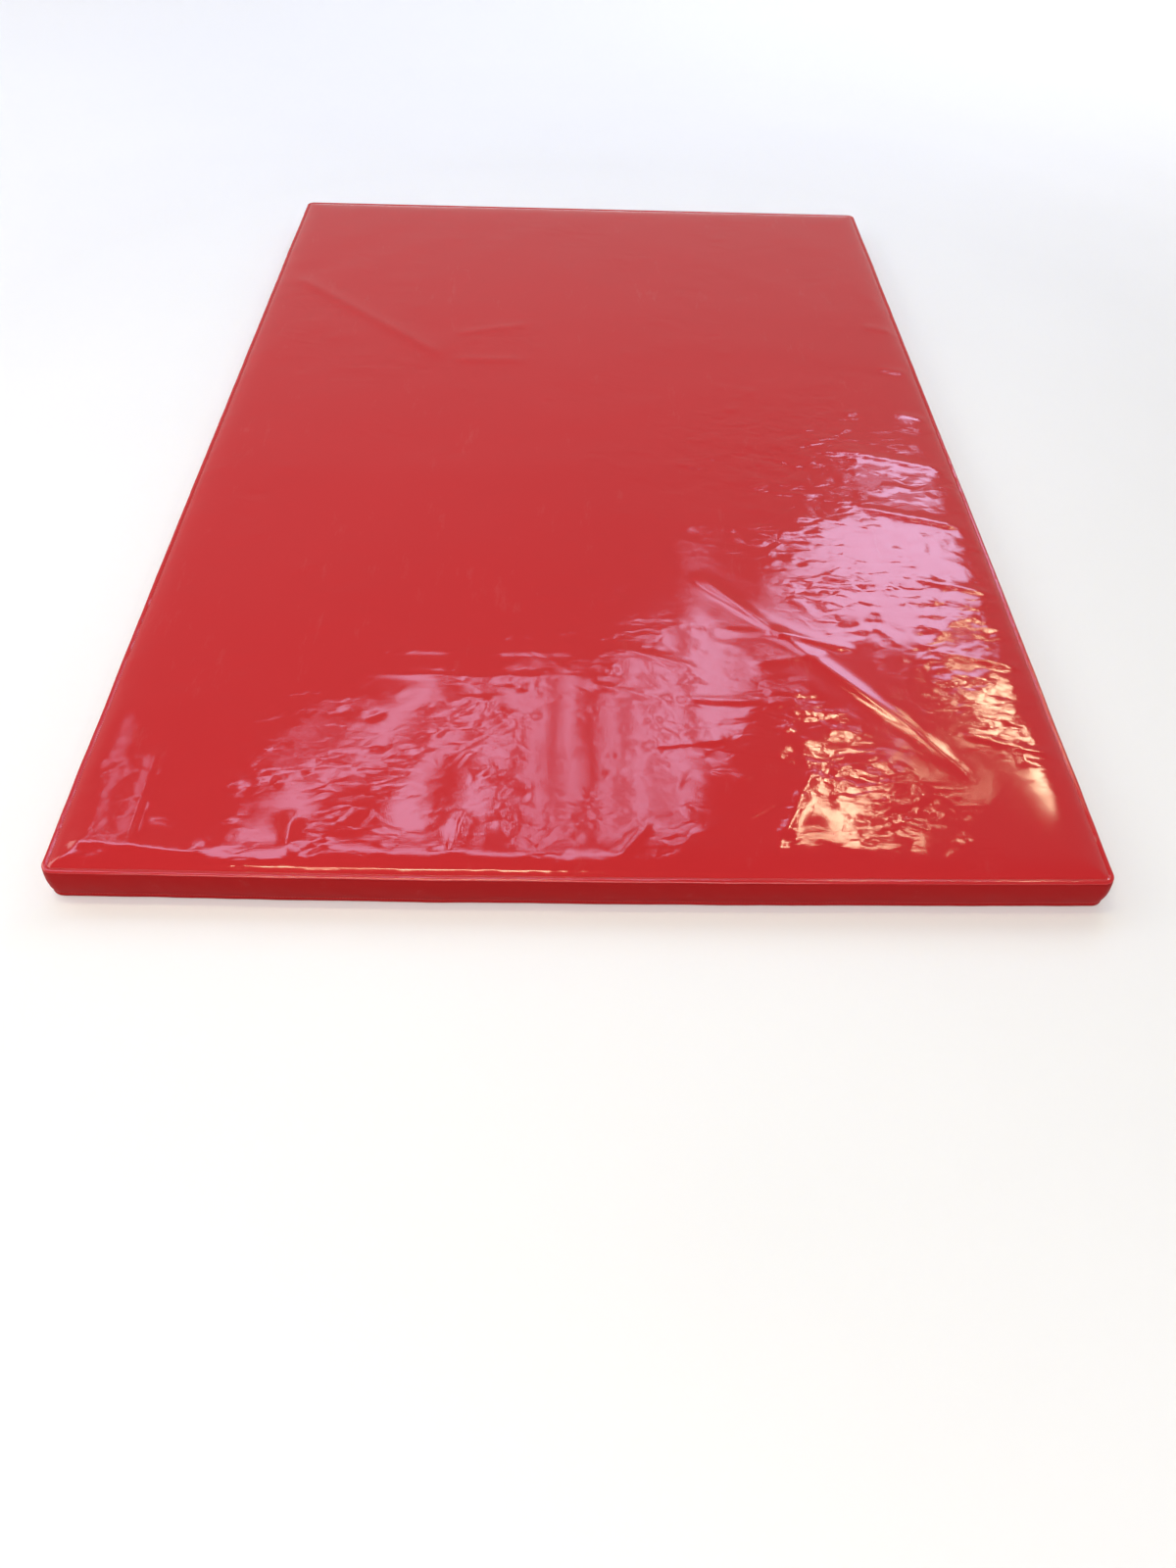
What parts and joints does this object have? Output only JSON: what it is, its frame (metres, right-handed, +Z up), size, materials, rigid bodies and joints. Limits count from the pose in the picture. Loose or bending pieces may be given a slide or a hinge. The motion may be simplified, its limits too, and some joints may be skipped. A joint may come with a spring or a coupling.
{
  "type": "landing mat",
  "caption": "Flat rectangular gymnastics landing mat: foam layers in a red stitched vinyl cover, with a zip along the back short side.",
  "frame": {"origin": "middle of the mat's base, on the floor", "axes": "+Y along the length, towards the zip; +X across the width; +Z up out of the landing surface"},
  "size_m": [1.22, 1.8354, 0.05],
  "materials": {
    "landing_vinyl": "gloss",
    "base_vinyl": "matte",
    "border_vinyl": "satin",
    "core_foam": "matte",
    "landing_foam": "matte",
    "zip_tape": "matte",
    "zip_coil": "satin",
    "zip_metal": "satin",
    "thread": "satin"
  },
  "bodies": {
    "mat": {"top_panel": "landing_vinyl", "base_panel": "base_vinyl", "border_strip": "border_vinyl", "foam_core": "core_foam", "foam_landing_layer": "landing_foam", "zip_facing_upper": "border_vinyl", "zip_facing_lower": "border_vinyl", "zip_tape_upper": "zip_tape", "zip_tape_lower": "zip_tape", "zip_coil_upper": "zip_coil", "zip_coil_lower": "zip_coil", "zip_top_stops": "zip_metal", "zip_bottom_stop": "zip_metal", "top_stitching": "thread", "base_stitching": "thread", "zip_stitching_upper": "thread", "zip_stitching_lower": "thread", "join_stitching_left": "thread", "join_stitching_right": "thread"},
    "slider": {"zip_slider": "zip_metal"},
    "tab": {"zip_pull_tab": "zip_metal"}
  },
  "joints": [
    {"name": "zip_slide", "type": "slide", "parent": "mat", "child": "slider", "axis": [1, 0, 0], "range_m": [0, 1.0615]},
    {"name": "pull_tab_hinge", "type": "hinge", "parent": "slider", "child": "tab", "pos_m": [-0.5305, 0.91865, 0.025], "axis": [0, 0, 1], "range_deg": [0, 180]}
  ]
}
